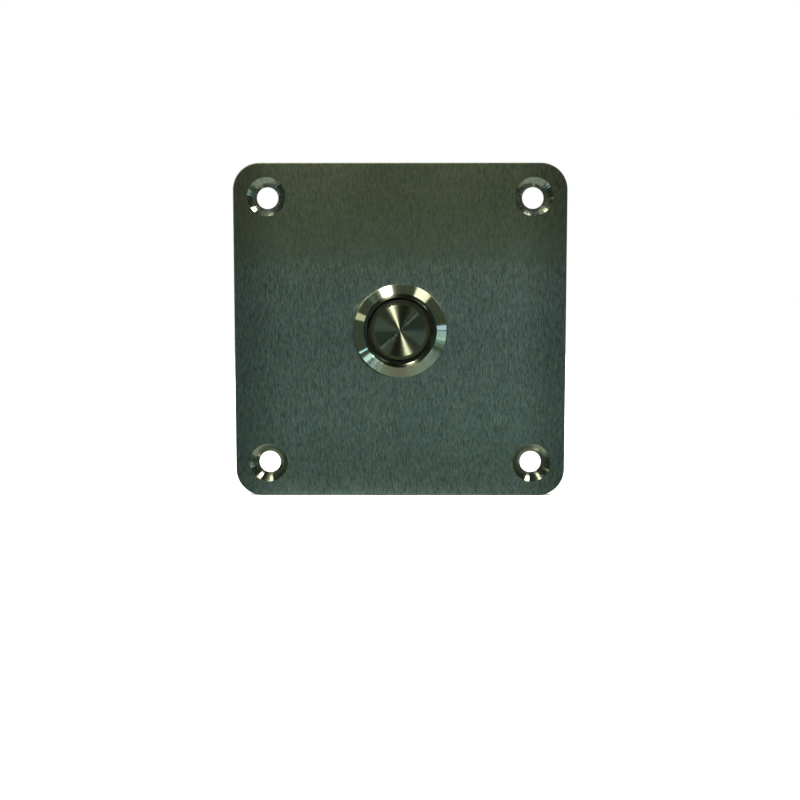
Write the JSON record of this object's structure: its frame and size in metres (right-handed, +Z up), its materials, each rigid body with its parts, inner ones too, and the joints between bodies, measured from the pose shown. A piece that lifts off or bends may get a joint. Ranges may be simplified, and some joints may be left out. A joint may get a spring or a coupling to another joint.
{
  "type": "vandal-resistant push button",
  "caption": "Square stainless face plate with countersunk fixing holes and a sprung anti-vandal push switch held in its middle by a nut.",
  "frame": {"origin": "middle of the plate's back face, in the plane of the wall, at the centre of the four fixing holes", "axes": "-Y out of the face towards the user, +Y into the wall along the switch, +Z up, +X right as seen from the front"},
  "size_m": [0.1, 0.0376, 0.1],
  "materials": {
    "plate_steel": "fine vertical brushing, dark satin stainless steel",
    "turned_steel": "bright turned stainless steel with circular tool marks",
    "black_rubber": "black seal rubber, slightly dull",
    "plain_steel": "stamped stainless steel",
    "nickel_plate": "nickel plated brass",
    "spring_steel": "drawn stainless spring wire",
    "blued_steel": "dark oil finished spring steel",
    "white_nylon": "white nylon",
    "contact_brass": "stamped brass strip",
    "contact_silver": "silver contact rivet",
    "zinc_steel": "bright zinc plated steel",
    "black_moulding": "black moulded nylon with a fine grain"
  },
  "bodies": {
    "housing": {"face_plate": "plate_steel", "bezel_barrel": "turned_steel", "flange_gasket": "black_rubber", "wiper_ring": "black_rubber", "lock_washer": "plain_steel", "mounting_nut": "nickel_plate", "return_spring": "spring_steel", "fixed_tip_left": "contact_silver", "fixed_tip_right": "contact_silver", "terminal_left": "contact_brass", "terminal_right": "contact_brass", "clamp_left": "zinc_steel", "clamp_right": "zinc_steel", "terminal_screw_left": "zinc_steel", "terminal_screw_right": "zinc_steel", "base_body": "black_moulding"},
    "button": {"button": "turned_steel", "button_o_ring": "black_rubber", "retaining_clip": "blued_steel", "plunger": "white_nylon", "contact_spring": "spring_steel", "bridge_clip": "blued_steel"},
    "bridge": {"contact_bridge": "contact_brass", "bridge_tip_left": "contact_silver", "bridge_tip_right": "contact_silver"}
  },
  "joints": [
    {"name": "button_press", "type": "slide", "parent": "housing", "child": "button", "axis": [0, 1, 0], "range_m": [0, 0.0025], "stiffness_N_per_m": 800, "springref_m": -0.00375, "deforming": ["return_spring"]},
    {"name": "bridge_follow", "type": "slide", "parent": "button", "child": "bridge", "axis": [0, -1, 0], "range_m": [0, 0.0008], "deforming": ["contact_spring"]}
  ],
  "couplings": [
    {"joint": "bridge_follow", "follows": "button_press", "ratio": 0.28}
  ]
}
